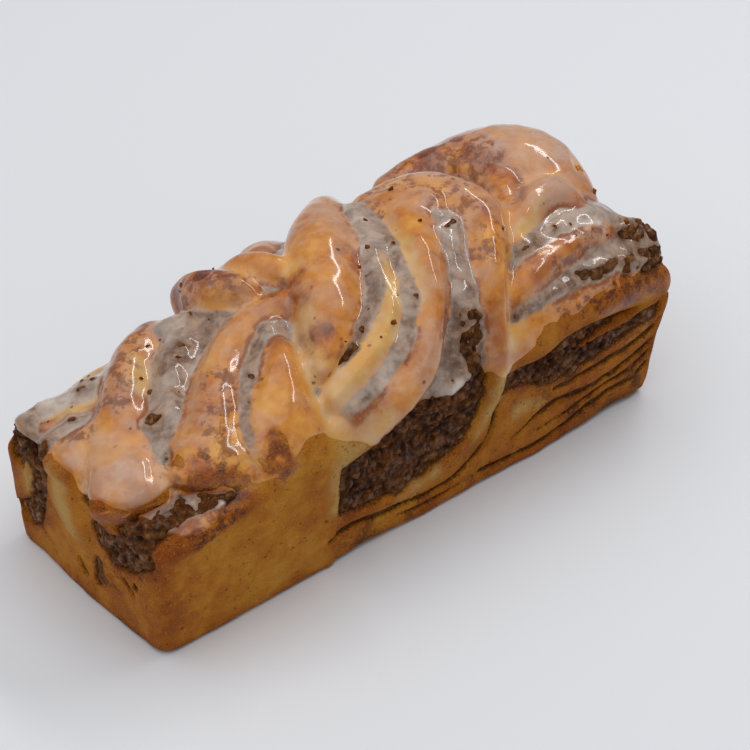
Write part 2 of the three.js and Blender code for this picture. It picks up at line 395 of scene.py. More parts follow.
crust = {
    "valley": 6,            # how deep the dough lies under the skin where filling shows
    # the crust of the tin's walls reaches up to here, as x, t, and at the back t is counted from the back
    "top": [
        (-145, 46), (-131, 48), (-126, 49), (-119, 53), (-113, 58), (-107, 61), (-92, 61), (-80, 62),
        (-66, 66), (-48, 65), (-42, 56), (-44, 45), (-41, 34), (-43, 25), (-28, 22), (-14, 20), (0, 22),
        (13, 26), (22, 33), (30, 44), (46, 43), (58, 37), (72, 35), (86, 37), (98, 40), (112, 43),
        (124, 48), (145, 48)],
    "backTop": [(-145, 48), (-100, 54), (-60, 40), (-30, 34), (10, 36), (50, 50), (90, 56), (145, 50)],
    "topSoft": 1.5, "ragged": 1.2, "raggedSize": 7,
    "open": 70,             # above this t, from front and back, filling may show anywhere
    # lines of filling between layers of dough, as x, t, half width
    "lines": [
        [(-46, 14, 0.8), (-35, 16, 1.2), (-13, 13, 1.2), (8, 11, 1), (21, 15, 1.2), (31, 25, 1.2),
         (34, 40, 1)],
        [(44, 16, 0.4), (57, 21, 1), (65, 23, 1.2), (74, 22.5, 1.2), (85, 21, 1.3), (101, 23, 1.3),
         (117, 28, 1.1), (126, 35, 0.9)],
        [(66, 30, 0.5), (80, 30, 0.9), (94, 31, 1), (108, 33, 0.9), (122, 38, 0.7)],
        [(59, 13, 0.4), (77, 15, 0.8), (92, 17, 0.9), (108, 19, 0.8), (122, 25, 0.6)],
        [(29, 8, 0.7), (40, 7, 0.9), (52, 6, 0.9), (60, 6, 1), (69, 7, 1.1), (78, 8.5, 1.3), (86, 11, 1.3),
         (98, 12, 1.3), (110, 13, 1.1), (119, 17, 0.6)], [(-12, 8, 0.4), (4, 6, 0.7), (18, 7, 0.5)]],
    "backLines": [
        [(-118, 30, 1), (-90, 26, 1.6), (-60, 20, 1.8), (-30, 16, 1.6), (0, 18, 1.2)],
        [(-100, 12, 0.8), (-70, 9, 1.4), (-40, 7, 1.2)],
        [(60, 38, 1.2), (80, 30, 1.6), (104, 24, 1.4), (124, 22, 1)]],
    "lineSoft": 0.7, "endSoft": 0.8, "dipSoft": 5,
    # filling that shows on the end walls, as y, z, half width
    "endNuts": {
        -1: [[(40, 15, 4.5), (33, 19, 5), (28, 26, 4), (25, 35, 3.5), (23, 43, 3)],
             [(36, 47, 7), (28, 54, 6)], [(-14, 41, 4), (-22, 37, 7), (-31, 42, 7), (-40, 48, 6)],
             [(-10, 24, 1.4), (-9, 18, 1.8), (-8, 13, 1.4)], [(3, 16, 1.2), (0, 12, 1.4)],
             [(-26, 25, 1.6), (-30, 23, 1.6)], [(-33, 28, 1.2)]],
        1: [[(-20, 50, 5), (-18, 40, 5), (-16, 30, 4), (-12, 20, 2.5)],
            [(12, 52, 5), (10, 42, 4), (14, 30, 3)], [(36, 50, 5), (38, 38, 4), (34, 24, 3)]],
    },
    "step": 1.2, "stepFrom": -43, "stepTop": (62, 50),   # right of here the front wall stands back a little
    "swell": 0.9, "swellSize": 34,
    "foot": 1.0,            # rounding where the crust meets the table
}


def strandStops(points, thickness=None):
    # the middle, outward direction, half width and half thickness along a strand on the skin
    stops = []
    for x, t, half, lift in curvePoints(points, 4):
        thick = thickness or min(max(lift + foldShape["rootDepth"], foldShape["thinnest"]),
                                 foldShape["thickest"])
        place, out = skinPlace(x, t, lift - thick)
        stops.append((place, out, half, thick))
    return stops


def endStops(points, side):
    stops = []
    for y, z, half, lift in curvePoints(points, 4):
        thick = foldShape["thinnest"]
        lean = tin["endLean"] * (1 - min(z / tin["rim"], 1))
        place = np.array([side * (length / 2 - lean + lift - thick), y, z])
        stops.append((place, np.array([side, 0.0, 0.0]), half, thick))
    return stops


def sweptField(stops):
    # the distance field of a strand swept along its stops, and the block of cells that it is for
    places, outs, halves, thicks = [np.array(values) for values in zip(*stops)]
    aheads = np.gradient(places, axis=0)
    aheads /= np.linalg.norm(aheads, axis=1, keepdims=True)
    sides = np.cross(outs, aheads)
    sides /= np.linalg.norm(sides, axis=1, keepdims=True)
    outs = np.cross(aheads, sides)
    start, stop = blockAround(places, max(halves.max(), thicks.max()) + cells["band"])
    start = start.clip(0)
    stop = np.minimum(stop, gridShape)
    field = np.full(stop - start, cells["band"], np.float32)
    for i in range(len(places) - 1):
        a, b = blockAround(places[i:i + 2], max(*halves[i:i + 2], *thicks[i:i + 2]) + 4)
        a, b = np.maximum(a, start), np.minimum(b, stop)
        if (b <= a).any():
            continue
        px, py, pz = blockOffsets(a, b, places[i])
        run = places[i + 1] - places[i]
        s = np.clip((px * run[0] + py * run[1] + pz * run[2]) / (run @ run), 0, 1).astype(np.float32)
        px, py, pz = px - s * run[0], py - s * run[1], pz - s * run[2]

        def towards(vectors):
            v, w = vectors[i], vectors[i + 1] - vectors[i]
            return px * (v[0] + s * w[0]) + py * (v[1] + s * w[1]) + pz * (v[2] + s * w[2])

        half = halves[i] + s * (halves[i + 1] - halves[i])
        thick = thicks[i] + s * (thicks[i + 1] - thicks[i])
        tip = np.minimum(half, foldShape["bluntTip"])
        u, v, w = towards(sides) / half, towards(outs) / thick, towards(aheads) / tip
        k = np.sqrt(u * u + v * v + w * w)
        slope = np.sqrt((u / half) ** 2 + (v / thick) ** 2 + (w / tip) ** 2)
        near = tuple(slice(p - q, r - q) for p, r, q in zip(a, b, start))
        field[near] = np.minimum(field[near], k * (k - 1) / np.maximum(slope, 1e-4))
    return tuple(slice(p, q) for p, q in zip(start, stop)), field


def bakeMesh(piece):
    # what the modifiers make of the piece becomes its own plain mesh
    mesh = bpy.data.meshes.new_from_object(piece.evaluated_get(bpy.context.evaluated_depsgraph_get()))
    piece.modifiers.clear()
    piece.data = mesh
    mesh.name = piece.name


def meshFrom(name, field):
    # a closed mesh where the field is 0, thinned to the triangle limit, with faces outward
    grid = openvdb.FloatGrid(cells["band"])
    grid.copyFromArray(np.ascontiguousarray(field, np.float32))
    points, triangles, quads = grid.convertToPolygons(isovalue=0.0, adaptivity=0.0)
    places = (points * cells["size"] + gridStart) * millimetre
    mesh = bpy.data.meshes.new(name)
    mesh.from_pydata(places.tolist(), [], quads[:, ::-1].tolist() + triangles[:, ::-1].tolist())
    mesh.update()
    piece = bpy.data.objects.new(name, mesh)
    bpy.context.scene.collection.objects.link(piece)
    count = 2 * len(quads) + len(triangles)
    if count > triangleLimit:
        thin = piece.modifiers.new("thin", "DECIMATE")
        thin.ratio = triangleLimit / count
        thin.use_collapse_triangulate = True
        bakeMesh(piece)
    piece.data.shade_smooth()
    print(name, "triangles:", sum(len(p.vertices) - 2 for p in piece.data.polygons))
    return piece


def pointsOf(piece):
    co = np.zeros(len(piece.data.vertices) * 3)
    piece.data.vertices.foreach_get("co", co)
    return co.reshape(-1, 3) / millimetre


def setAttribute(piece, name, values):
    layer = piece.data.attributes.new(name, "FLOAT", "POINT")
    layer.data.foreach_set("value", np.asarray(values, np.float32))


# the dough: the skin, let in where filling shows, with the folds laid over it
skin = skinField()
print("skin ready")
nearSkin = np.argwhere(np.abs(skin) < cells["band"] + 1)
nearX, nearY, nearZ = cellPlaces(nearSkin)
nearT = wayRound(nearX, nearY, nearZ)
nearSpot = tuple(nearSkin.T)
fromBack = 2 * wallRun + np.interp(ridgeHeight(mapXs), domeHeights, domeRuns[:, -1]) - mapTs

# filling shows in place of crust over the tin's rim, in the lines of the side, and on the end walls
soft = crust["topSoft"]
frontRagged = mapNoise(crust["raggedSize"], "frontTop") * crust["ragged"]
backRagged = mapNoise(crust["raggedSize"], "backTop") * crust["ragged"]
opened = smoothstep(-soft, soft, mapTs - along(crust["top"]) + frontRagged)
opened *= smoothstep(-soft, soft, fromBack - along(crust["backTop"]) + backRagged)
opened = np.maximum(opened, painted(crust["lines"], crust["lineSoft"]))
opened = np.maximum(opened, painted(crust["backLines"], crust["lineSoft"], fromBack))
opened = np.maximum(opened, (mapTs > crust["open"]) & (fromBack > crust["open"]))
setBack = smoothstep(-1, 1, mapXs - crust["stepFrom"]) * smoothstep(*crust["stepTop"], mapTs) * crust["step"]

inset = onSkin(opened * (crust["valley"] - setBack) + setBack, nearX, nearT)
for side, strokes in crust["endNuts"].items():
    onEnd = endShare(nearX, side, 9, 4)
    letIn = onEnd * crust["valley"] * paintedOnEnd(strokes, crust["endSoft"], nearY, nearZ)
    inset = np.maximum(inset * (1 - onEnd * (nearZ < tin["rim"])), letIn)
sunk = np.zeros(mapXs.shape)
for depth, strokes in dips.items():
    sunk = np.maximum(sunk, painted(strokes, crust["dipSoft"]) * depth)
dip = onSkin(sunk, nearX, nearT)
dough = skin.copy()
dough[nearSpot] += inset + dip
for name, points in folds.items():
    block, field = sweptField(strandStops(points))
    join = foldShape["softJoin" if name in foldShape["soft"] else "join"]
    dough[block] = smoothUnion(dough[block], field, join)
for side, ends in endFolds.items():
    for points in ends:
        block, field = sweptField(endStops(points, side))
        dough[block] = smoothUnion(dough[block], field, foldShape["join"])
dough = np.clip(dough, -cells["band"], cells["band"])
dough += softNoise(crust["swellSize"], "swell") * crust["swell"]
dough += softNoise(foldShape["wobbleSize"], "wobble") * foldShape["wobble"]
dough += softNoise(foldShape["fineSize"], "fineWobble") * foldShape["fineWobble"]
tableTop = np.broadcast_to(-gridZ[None, None, :], gridShape)
dough = smoothCut(dough, tableTop, crust["foot"]).astype(np.float32)
print("dough ready")

glaze = {
    # the lower edge of the glaze at the front, as x, t
    "hem": [(-140, 74), (-128, 70), (-120, 68), (-113, 57), (-104, 53), (-97, 54), (-91, 58), (-84, 64),
            (-79, 62), (-72, 60), (-60, 68), (-50, 66), (-42, 58), (-30, 54), (-16, 57), (-4, 58), (8, 57),
            (20, 60), (27, 58), (33, 54), (38, 58), (50, 62), (66, 64), (90, 65), (140, 64)],
    "backHem": 62, "ragged": 4, "raggedSize": 9,
    "thin": 0.5, "uneven": 0.2, "unevenSize": 12, "fineUneven": 0.16, "fineUnevenSize": 3,
    "smooth": 0.8, "settle": 1.7,      # how far it rounds small bumps, and runs together over creases
    # where the dough or the filling has none, as x, t, half width; in pools and drips it lies deeper
    "bare": [
        [(-132, 90, 4), (-129, 81, 5), (-122, 73, 5), (-114, 70, 5), (-106, 71, 4)],
        [(-128, 74, 4), (-119, 67, 5), (-111, 64, 5), (-105, 66, 4)],
        [(-99, 84, 4), (-96, 76, 6), (-95, 69, 7), (-90, 66, 6), (-84, 66, 4)],
        [(-104, 66, 4), (-100, 63, 4)], [(-69, 74, 3), (-71, 66, 4)], [(-81, 69, 3), (-76, 66, 4)],
        [(74, 79, 1.6), (82, 76, 2.2), (94, 75, 2.4), (107, 74, 2.2), (119, 71, 2.6)],
        [(118, 84, 3), (120, 78, 3)], [(52, 64, 3), (64, 65, 3)],
        [(80, 62, 3), (94, 61, 4), (108, 60, 4), (120, 60, 4)], [(92, 70, 2), (102, 69, 3), (114, 67, 3)],
        [(102, 86, 2.2), (111, 81, 3)], [(-45, 140, 3)], [(-53, 148, 4)], [(108, 112, 3)],
        [(25, 86, 2), (22, 76, 5), (20, 68, 4), (24, 60, 3)], [(-20, 91, 0.8), (-32, 88, 1), (-41, 83, 1)],
        [(-16, 61, 1.5), (-26, 57, 1.5)], [(-95, 101, 2)]],
    "bareSoft": 1.8, "bareDepth": 1.0, "bareUneven": 0.9,
    "pools": [
        [(-58, 146, 5), (-66, 136, 6), (-74, 128, 5)], [(-82, 74, 3), (-79, 66, 3)],
        [(-98, 90, 3), (-103, 84, 2)], [(-41, 92, 2), (-41, 84, 2), (-40, 74, 2)],
        [(-12, 84, 4), (-24, 76, 5)], [(22, 92, 3), (24, 86, 2)], [(-2, 62, 3), (8, 60, 2)],
        [(18, 148, 3), (10, 128, 4), (0, 110, 3)], [(-70, 82, 3), (-75, 74, 3)],
        [(82, 92, 4), (94, 88, 4)], [(86, 142, 6), (96, 132, 12), (104, 122, 8)],
        [(78, 111, 5), (88, 110, 5)], [(38, 128, 4), (33, 110, 4)], [(-112, 92, 6), (-118, 84, 4)],
        [(-120, 108, 4), (-126, 108, 4)]],
    "poolDepth": 0.7, "poolSoft": 2.5,
    "drips": [
        [(-129, 108, 1.5), (-132, 103, 1)], [(4, 60, 2.5), (12, 61, 2)], [(-8, 60, 1)], [(36, 56, 1)],
        [(-96, 60, 1.5), (-90, 62, 1)], [(84, 92, 2), (94, 90, 2)], [(-112, 136, 2), (-104, 132, 1)]],
    "dripDepth": 0.9, "dripSoft": 1.5,
    # and on the end walls, as y, z, half width
    "endBare": {
        -1: [[(18, 56, 5), (9, 55, 6), (-4, 56, 6)], [(6, 46, 13), (0, 34, 12)]],
        1: [[(0, 44, 30)]],
    },
    "endSoft": 2, "endDepth": 1.5,
    "none": -1.2,           # a thickness well under 0, where nothing was poured
    "under": 1.2,           # how far its underside lies in what it covers
}
ragged = mapNoise(glaze["raggedSize"], "raggedHem") * glaze["ragged"]
covers = smoothstep(-1, 5, mapTs - along(glaze["hem"]) - ragged * 0.8)
covers *= smoothstep(-1, 1.5, fromBack - glaze["backHem"] - ragged * 1.6)
patchy = mapNoise(glaze["fineUnevenSize"], "patches")
thickness = glaze["thin"] + mapNoise(glaze["unevenSize"], "thickness") * glaze["uneven"]
thickness = thickness + patchy * glaze["fineUneven"]
thickness -= painted(glaze["bare"], glaze["bareSoft"]) * (glaze["bareDepth"] + patchy * glaze["bareUneven"])
thickness = np.maximum(thickness, -0.5) + painted(glaze["pools"], glaze["poolSoft"]) * glaze["poolDepth"]
dripping = painted(glaze["drips"], glaze["dripSoft"])
thickness += dripping * glaze["dripDepth"]
thickness = thickness * covers + glaze["none"] * (1 - covers)
thick = np.full(gridShape, glaze["none"], np.float32)
thick[nearSpot] = onSkin(thickness, nearX, nearT)
for side, strokes in glaze["endBare"].items():
    wiped = endShare(nearX, side, 3, -1) * paintedOnEnd(strokes, glaze["endSoft"], nearY, nearZ)
    thick[nearSpot] -= wiped * glaze["endDepth"]
beyond = np.argwhere((skin >= cells["band"] + 1) & (dough < 4))      # on folds that stand far out
bx, by, bz = cellPlaces(beyond)
thick[tuple(beyond.T)] = onSkin(thickness, bx, wayRound(bx, by, bz))

# the filling: it lies a little under the skin, heaped in the valleys, with crumbs pressed in
filling = {
    "depth": 1.6,           # how deep its top lies under the skin
    "lump": 1.5, "lumpSize": 8, "fineLump": 0.5,
    "grain": 0.8, "grainSize": 2.8,
    # crumbs pressed into it: how many, their radii, and how deep their middles lie
    "crumbs": (3600, (0.7, 1.9), 0.3),
    "fineCrumbs": (1200, (0.5, 1.1), 0.3),
    "chunks": (320, (1.2, 2.6), 1.2),        # these lie under the glaze
    "crumbJoin": 0.4,
    # where it has sunk behind the front wall, as x, t, half width
    "hollows": [
        [(-34, 47, 5), (-18, 48, 8), (0, 50, 8), (14, 54, 8), (24, 64, 5)], [(56, 47, 4), (72, 46, 4)]],
    "hollowDepth": 2.2, "hollowSoft": 4,
    "wallDepth": 2.4, "wallGap": 0.5,        # it stays behind the walls
    "lineDepth": 1.0, "lineSoft": 1.2,       # how much deeper it lies in the lines of the side
    "hidden": 1.4,          # how far it goes on under the dough
    # filling that fills a valley higher, as x, t, half width, lift
    "heaps": [
        [(-60, 134, 7, 4), (-70, 124, 7, 4), (-79, 114, 7, 4), (-87, 104, 7, 3), (-94, 95, 6, 3),
         (-99, 86, 4, 2)], [(-84, 104, 4.5, 5), (-89, 97, 5.5, 6.5), (-94, 91, 4, 4)],
        [(-40, 112, 5, 5), (-50, 105, 5, 5), (-59, 95, 6, 4), (-67, 84, 6, 4), (-74, 74, 6, 3.5)],
        [(20, 150, 4, 5), (12, 130, 5, 6), (3, 114, 5, 6), (-7, 102, 5, 5), (-18, 95, 5, 4),
         (-32, 87, 4, 3)],
        [(22, 142, 4, 5), (15, 121, 5, 5), (8, 103, 5, 5.5), (1, 92, 5, 5.5), (-6, 84, 5, 5),
         (-16, 78, 5, 4), (-28, 73, 5, 3), (-38, 70, 4, 2)],
        [(42, 128, 4, 7), (38, 118, 5, 7), (32, 108, 5, 6), (27, 98, 6, 4), (24, 88, 7, 3), (22, 76, 8, 2),
         (15, 64, 9, 1), (2, 54, 9, 0)],
        [(-32, 127, 6, 4), (-44, 128, 6, 4), (-54, 135, 7, 4), (-62, 142, 6, 4)],
        [(-88, 135, 6, 1), (-98, 137, 7, 2), (-108, 141, 7, 2), (-117, 139, 6, 2)],
        [(-102, 119, 4, 2), (-110, 122, 5, 2), (-118, 122, 4, 1.5)],
        [(57, 96, 5, 2), (68, 96, 5, 3), (80, 98, 6, 4), (92, 97, 6, 4)],
        [(92, 94, 6, 4), (99, 95, 6, 4), (105, 88, 7, 5), (112, 81, 6, 6), (118, 75, 6, 5)],
        [(43, 76, 4, 2), (54, 77, 4, 2.5), (66, 77, 4, 3), (78, 77, 4, 3), (90, 76, 5, 3),
         (104, 73, 5, 3.5), (116, 70, 5, 3)],
        [(-122, 66, 4, 0), (-114, 62, 4, 1.5), (-104, 60, 4, 1.5), (-93, 60, 4, 1)]],
    "heapThick": 7, "heapJoin": 2.5,
}
lined = np.maximum(painted(crust["lines"], filling["lineSoft"]),
                   painted(crust["backLines"], filling["lineSoft"], fromBack))
lined = onSkin(lined, nearX, nearT)
nuts = skin + filling["depth"]
nuts[nearSpot] += dip + lined * filling["lineDepth"]
hollowed = onSkin(painted(filling["hollows"], filling["hollowSoft"]), nearX, nearT)
nuts[nearSpot] += hollowed * filling["hollowDepth"]
for points in filling["heaps"]:
    block, field = sweptField(strandStops(points, filling["heapThick"]))
    nuts[block] = smoothUnion(nuts[block], field, filling["heapJoin"])
lumps = softNoise(filling["lumpSize"], "lumps") * filling["lump"]
lumps = lumps + softNoise(filling["lumpSize"] / 3, "fineLumps") * filling["fineLump"]
lumps[nearSpot] *= 1 - 0.8 * lined
grain = softNoise(filling["grainSize"], "grain") * filling["grain"]
nuts += lumps + grain
onWall = np.broadcast_to(gridZ[None, None, :] < tin["rim"] + 4, gridShape)
wall = skin + filling["wallDepth"] + lumps * 0.5 + grain
nuts = np.where(onWall, smoothCut(nuts, wall, 1.0), nuts)
rng = np.random.default_rng(seed + draws["crumbs"])
inLine = np.zeros(gridShape, bool)
inLine[nearSpot] = onSkin(painted(crust["lines"], 5), nearX, nearT) > 0.02


def pressIn(crumbs, where):
    # blunt bits, each with its own size, flatness and turn, on the filling's surface in those cells
    count, radiusRange, sink = crumbs
    shown = np.argwhere((np.abs(nuts + sink) < 0.6) & (dough > 0.4) & where)
    for cell in shown[rng.choice(len(shown), min(count, len(shown)), replace=False)]:
        radii = rng.uniform(*radiusRange) * rng.uniform(0.6, 1.0, 3)
        turn = np.linalg.qr(rng.normal(size=(3, 3)))[0]
        reach = int((radii.max() + 1.2) / cells["size"]) + 1
        a, b = np.maximum(cell - reach, 0), np.minimum(cell + reach + 1, gridShape)
        px, py, pz = blockOffsets(a, b, gridStart + (cell + rng.uniform(-0.5, 0.5, 3)) * cells["size"])
        total = sum(((row[0] * px + row[1] * py + row[2] * pz) / r) ** 4 for row, r in zip(turn, radii))
        bit = (np.maximum(total, 1e-4) ** 0.25 - 1) * radii.min()
        block = tuple(slice(p, q) for p, q in zip(a, b))
        nuts[block] = smoothUnion(nuts[block], bit, filling["crumbJoin"])


pressIn(filling["crumbs"], (thick < 0) & ~inLine)
pressIn(filling["fineCrumbs"], thick < 0)
pressIn(filling["chunks"], thick > 0)
nuts = np.maximum(nuts, -(dough + filling["hidden"]))
nuts = np.where(onWall, np.maximum(nuts, skin + filling["wallGap"]), nuts)
nuts = np.clip(smoothCut(nuts, tableTop - 0.5, 0.5), -cells["band"], cells["band"]).astype(np.float32)
print("filling ready")

# the glaze: poured over both, and run together over the creases
union = smoothUnion(dough, nuts, 0.6)
poured = np.minimum(blurred(union, glaze["smooth"]), blurred(union, glaze["settle"])) - thick
poured = smoothCut(poured, -(union + glaze["under"]), 0.3)
poured = np.clip(poured, -cells["band"], cells["band"]).astype(np.float32)
print("glaze ready")

# where the dough is pale, toasted or specked and the glaze milky, as strokes of x, t, half width
looks = {
    "pale": [
        [(6, 116, 3), (0, 104, 4), (-8, 93, 5), (-20, 87, 6), (-31, 82, 6), (-40, 77, 5)],
        [(20, 132, 3), (16, 118, 4), (10, 103, 3), (5, 92, 2)],
        [(-33, 108, 3), (-37, 98, 4), (-38, 90, 4)],
        [(-43, 92, 3), (-45, 76, 4), (-44, 60, 5), (-43, 44, 5), (-43, 30, 4)],
        [(-24, 64, 3), (-34, 60, 4), (-44, 52, 5)], [(33, 54, 5), (30, 42, 5), (24, 32, 4)],
        [(62, 101, 4), (70, 104, 3), (76, 108, 2.5)], [(-80, 128, 3), (-88, 118, 3)],
        [(-60, 118, 2), (-68, 108, 2)], [(38, 68, 4), (44, 72, 3)], [(-128, 72, 3), (-122, 66, 3)],
        [(-86, 150, 5), (-100, 150, 5)], [(-12, 18, 4), (4, 20, 4)], [(46, 30, 4), (58, 27, 3)],
        [(-40, 132, 3), (-46, 131, 3)], [(-100, 126, 3), (-112, 131, 3)]],
    "toasted": [
        [(-97, 78, 7), (-97, 70, 9), (-90, 66, 9), (-80, 66, 6)],
        [(-130, 80, 5), (-124, 71, 6), (-116, 66, 6), (-106, 65, 5)],
        [(56, 160, 9), (70, 157, 9), (80, 146, 8), (80, 132, 7), (74, 118, 6)],
        [(-43, 134, 6), (-49, 146, 8)], [(15, 88, 3), (9, 78, 4), (-1, 69, 4), (-12, 62, 4), (-24, 57, 3)],
        [(4, 122, 4), (-4, 118, 4)], [(-26, 124, 4), (-32, 116, 4)],
        [(84, 60, 2), (104, 60, 3), (120, 58, 3)], [(-73, 76, 5), (-70, 66, 7)],
        [(72, 84, 3), (84, 84, 3)], [(-52, 152, 8), (-40, 152, 8)], [(-66, 152, 5), (-78, 144, 4)],
        [(-33, 100, 4), (-36, 92, 3)]],
    "specked": [
        [(18, 148, 4), (22, 136, 4)], [(30, 146, 5), (38, 138, 4)],
        [(-66, 148, 5), (-78, 140, 6), (-90, 127, 6), (-100, 113, 5)],
        [(-70, 101, 5), (-79, 90, 6), (-88, 78, 7)], [(45, 126, 6), (50, 119, 6)],
        [(40, 146, 6), (50, 148, 4)], [(56, 137, 7), (60, 126, 5)],
        [(39, 103, 4), (46, 99, 5), (51, 106, 5)], [(-40, 134, 6), (-48, 144, 7)],
        [(56, 160, 7), (74, 156, 8), (79, 136, 6)], [(64, 68, 4), (90, 68, 5), (114, 64, 5)],
        [(60, 86, 4), (88, 88, 5)], [(12, 84, 4), (2, 72, 4)], [(-114, 112, 5)],
        [(-108, 54, 5), (-92, 56, 5)]],
    "milky": [
        [(86, 140, 9), (97, 130, 14), (106, 120, 9)], [(76, 110, 6), (88, 112, 8)], [(74, 104, 4)],
        [(16, 160, 4), (6, 142, 5), (3, 124, 4)], [(46, 144, 7), (54, 130, 5)],
        [(40, 124, 4), (36, 108, 4)],
        [(-72, 150, 4), (-92, 132, 5), (-107, 112, 7), (-115, 98, 9), (-110, 88, 10)],
        [(-44, 122, 4), (-64, 110, 3)], [(-54, 142, 6), (-66, 134, 6)], [(20, 150, 5), (12, 132, 4)],
        [(88, 94, 5), (100, 95, 4)], [(-92, 138, 4), (-108, 136, 6)], [(-8, 72, 3), (4, 84, 3)],
        [(-20, 76, 4)], [(12, 96, 3)]],
    "soft": {"pale": 5, "toasted": 5, "specked": 4, "milky": 7},     # the strokes' soft edges
    "endSoft": 6,
    # pale dough on the end walls, as y, z, half width
    "endPale": {
        -1: [[(10, 54, 4), (7, 46, 6), (4, 38, 6), (2, 30, 4)], [(31, 43, 4), (32, 30, 3)]],
        1: [[(-8, 50, 7), (-2, 32, 6)]],
    },
    "dripWhite": 1.8,       # how much whiter a drip is
    # for the filling, what stands out this far round is painted lighter and its hollows darker, as painted
    # shade
    "swell": 3.2, "near": 1.6,      # what stands out from its surroundings this far round is browner
    "underGlaze": 0.3,      # the dough lies this much deeper under glaze
}


def looksAt(painting, places, endStrokes={}):
    x, y, z = places.T
    value = onSkin(painting, x, wayRound(x, y, z))
    for side, strokes in endStrokes.items():
        onEnd = endShare(x, side, 10, 2)
        value = value * (1 - onEnd) + onEnd * paintedOnEnd(strokes, looks["endSoft"], y, z)
    return value


pale, toasted, specked, milky = [painted(looks[name], soft) for name, soft in looks["soft"].items()]
milky = np.maximum(milky, dripping * looks["dripWhite"])
bulge = blurred(dough, looks["swell"])
doughPiece = meshFrom("baked_dough", dough + looks["underGlaze"] * (thick > 0))
nutPiece = meshFrom("nut_filling", nuts)
glazePiece = meshFrom("sugar_glaze", poured)

setAttribute(doughPiece, "nearNuts", sampled(nuts, pointsOf(doughPiece)))
# how far the filling stands out, used to paint shade into its hollows
setAttribute(nutPiece, "raised", sampled(blurred(nuts, looks["near"]), pointsOf(nutPiece)))
for piece in (doughPiece, glazePiece):
    places = pointsOf(piece)
    setAttribute(piece, "bulge", sampled(bulge, places))
    setAttribute(piece, "pale", looksAt(pale, places, looks["endPale"]))
    setAttribute(piece, "toasted", looksAt(toasted, places))
    setAttribute(piece, "specked", looksAt(specked, places))
glazePlaces = pointsOf(glazePiece)
glazeDepth = sampled(union, glazePlaces)
setAttribute(glazePiece, "milky", looksAt(milky, glazePlaces))
setAttribute(glazePiece, "depth", glazeDepth)
setAttribute(glazePiece, "overNuts", sampled(dough - nuts, glazePlaces))


def rgba(*values):
    # from the values 0 to 255 that a colour picker shows
    def linear(v):
        v /= 255
        return v / 12.92 if v <= 0.04045 else ((v + 0.055) / 1.055) ** 2.4
    return (*[linear(v) for v in values], 1)


class Wire:
    # a node's output, which can be added, multiplied and so on
    def __init__(self, graph, socket):
        self.graph, self.socket = graph, socket

    def __add__(self, other):
        return self.graph.maths("ADD", self, other)

    def __sub__(self, other):
        return self.graph.maths("SUBTRACT", self, other)

    def __mul__(self, other):
        return self.graph.maths("MULTIPLY", self, other)


class Graph:
    # a tree of nodes
    def __init__(self, tree):
        self.tree = tree

    def node(self, kind, settings, values, output=0):
        made = self.tree.nodes.new(kind)
        for key, value in settings.items():
            if key == "stops":
                ramp = made.color_ramp
                while len(ramp.elements) < len(value):
                    ramp.elements.new(1)
                for element, (position, shade) in zip(ramp.elements, value):
                    element.position = position
                    element.color = rgba(*shade)
            else:
                setattr(made, key, value)
        for key, value in values.items():
            self.fill(made.inputs[key], value)
        return Wire(self, made.outputs[output])

    def fill(self, socket, value):
        if isinstance(value, Wire):
            self.tree.links.new(value.socket, socket)
        else:
            socket.default_value = value

    def maths(self, kind, a, b):
        return self.node("ShaderNodeMath", {"operation": kind}, {0: a, 1: b})


class Shader(Graph):
    def __init__(self, name):
        self.material = bpy.data.materials.new(name)
        self.material.use_nodes = True
        super().__init__(self.material.node_tree)
        self.surface = self.tree.nodes["Principled BSDF"]
        self.place = self.node("ShaderNodeTexCoord", {}, {}, "Object")

    def set(self, values):
        for key, value in values.items():
            self.fill(self.surface.inputs[key], value)

    def noise(self, size, detail=3, rough=0.55, warp=0):
        return self.node("ShaderNodeTexNoise", {}, {"Vector": self.place, "Scale": 1 / (size * millimetre),
                         "Detail": detail, "Roughness": rough, "Distortion": warp})

    def spots(self, size):
        return self.node("ShaderNodeTexVoronoi", {}, {"Vector": self.place, "Scale": 1 / (size * millimetre)})

    def step(self, value, start, end):
        return self.node("ShaderNodeMapRange", {"interpolation_type": "SMOOTHSTEP"},
                         {"Value": value, "From Min": start, "From Max": end, "To Min": 0.0, "To Max": 1.0})

    def ramp(self, value, stops):
        return self.node("ShaderNodeValToRGB", {"stops": stops}, {"Fac": value})

    def mix(self, share, a, b):
        b = b if isinstance(b, Wire) else rgba(*b)
        return self.node("ShaderNodeMix", {"data_type": "RGBA"}, {0: share, 6: a, 7: b}, 2)

    def attribute(self, name):
        return self.node("ShaderNodeAttribute", {"attribute_name": name}, {}, "Fac")

    def bump(self, height, distance, strength=1.0):
        return self.node("ShaderNodeBump", {}, {"Height": height, "Distance": distance * millimetre,
                         "Strength": strength})


